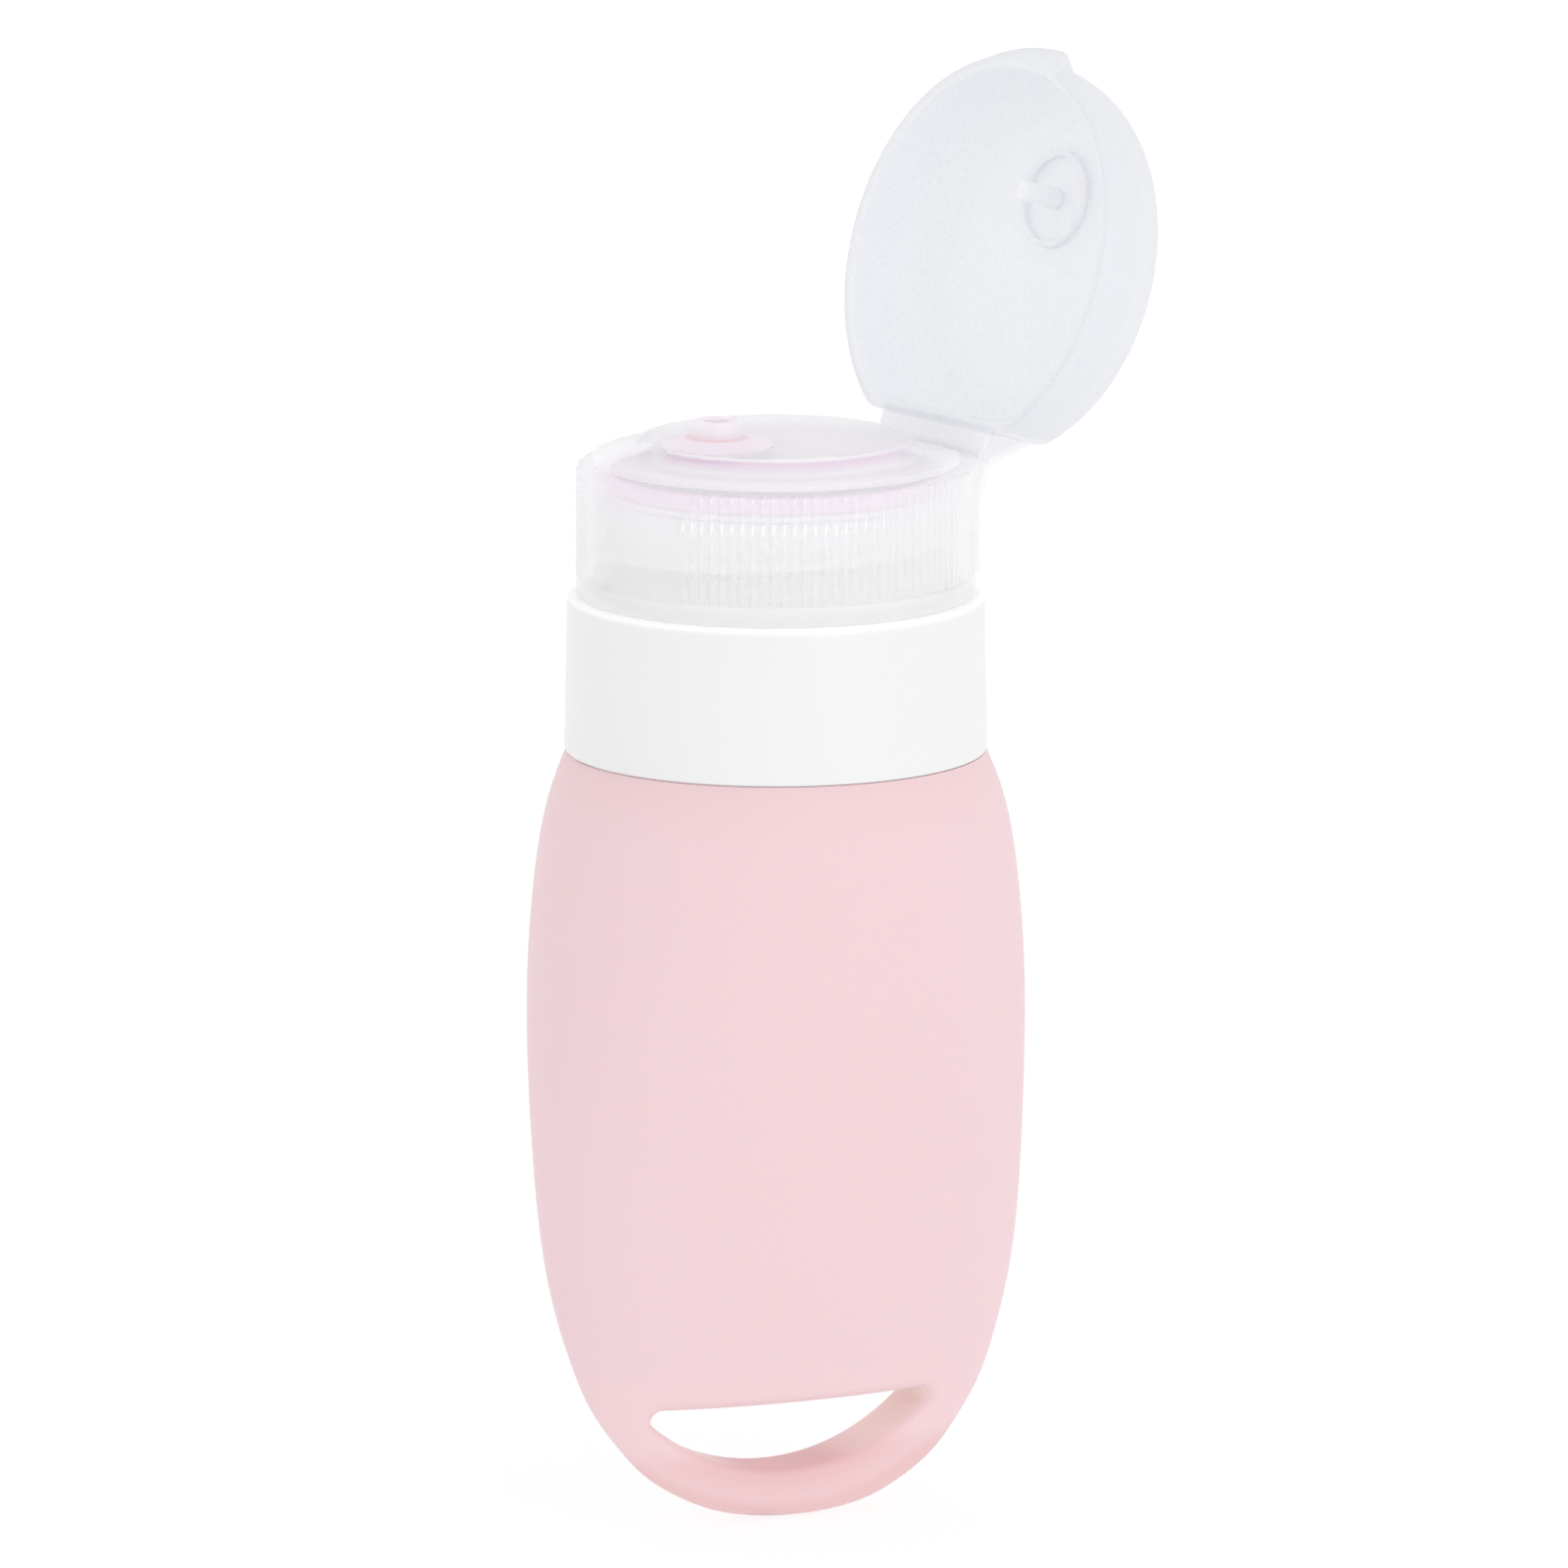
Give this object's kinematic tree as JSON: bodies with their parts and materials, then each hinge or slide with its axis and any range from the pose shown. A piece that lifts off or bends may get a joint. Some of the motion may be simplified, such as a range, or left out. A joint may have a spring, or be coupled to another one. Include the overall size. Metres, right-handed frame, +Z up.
{
  "type": "travel squeeze bottle",
  "caption": "Soft silicone travel squeeze bottle with a hanging slot in its foot, a collar ring, and a ribbed screw cap with a flip lid and a soft spout valve.",
  "frame": {"origin": "middle of the hanging slot, on the bottle's axis", "axes": "+Z up the bottle's axis towards the cap, +X along the slot's length towards the cap's hinge side, +Y through the slot from the front to the back"},
  "size_m": [0.0654, 0.0473, 0.1463],
  "materials": {
    "silicone_body": "satin, pale pink",
    "silicone_valve": "satin, pale pink",
    "collar_plastic": "smooth, opaque white",
    "neck_plastic": "smooth, opaque white",
    "washer_plastic": "slippery film",
    "cap_plastic": "milky translucent polypropylene"
  },
  "bodies": {
    "bottle": {"bottle_body": "silicone_body", "neck_insert": "neck_plastic", "collar_ring": "collar_plastic"},
    "washer": {"slip_washer": "washer_plastic"},
    "cap": {"cap_shell": "cap_plastic", "valve": "silicone_valve", "film_hinge_left": "cap_plastic", "film_hinge_right": "cap_plastic", "hinge_strap": "cap_plastic"},
    "lid": {"flip_lid": "cap_plastic"}
  },
  "joints": [
    {"name": "cap_lift", "type": "slide", "parent": "bottle", "child": "washer", "axis": [0, 0, 1], "range_m": [0, 0.00501]},
    {"name": "cap_turn", "type": "hinge", "parent": "washer", "child": "cap", "pos_m": [0, 0, 0.09], "axis": [0, 0, 1], "range_deg": [0, 450]},
    {"name": "lid_flip", "type": "hinge", "parent": "cap", "child": "lid", "pos_m": [0.01888, 0.00401, 0.099], "axis": [-0.2079, 0.9781, 0], "range_deg": [-107, 33], "deforming": ["hinge_strap"]}
  ],
  "couplings": [
    {"joint": "cap_lift", "follows": "cap_turn", "m_per_rad": 0.00063662}
  ]
}
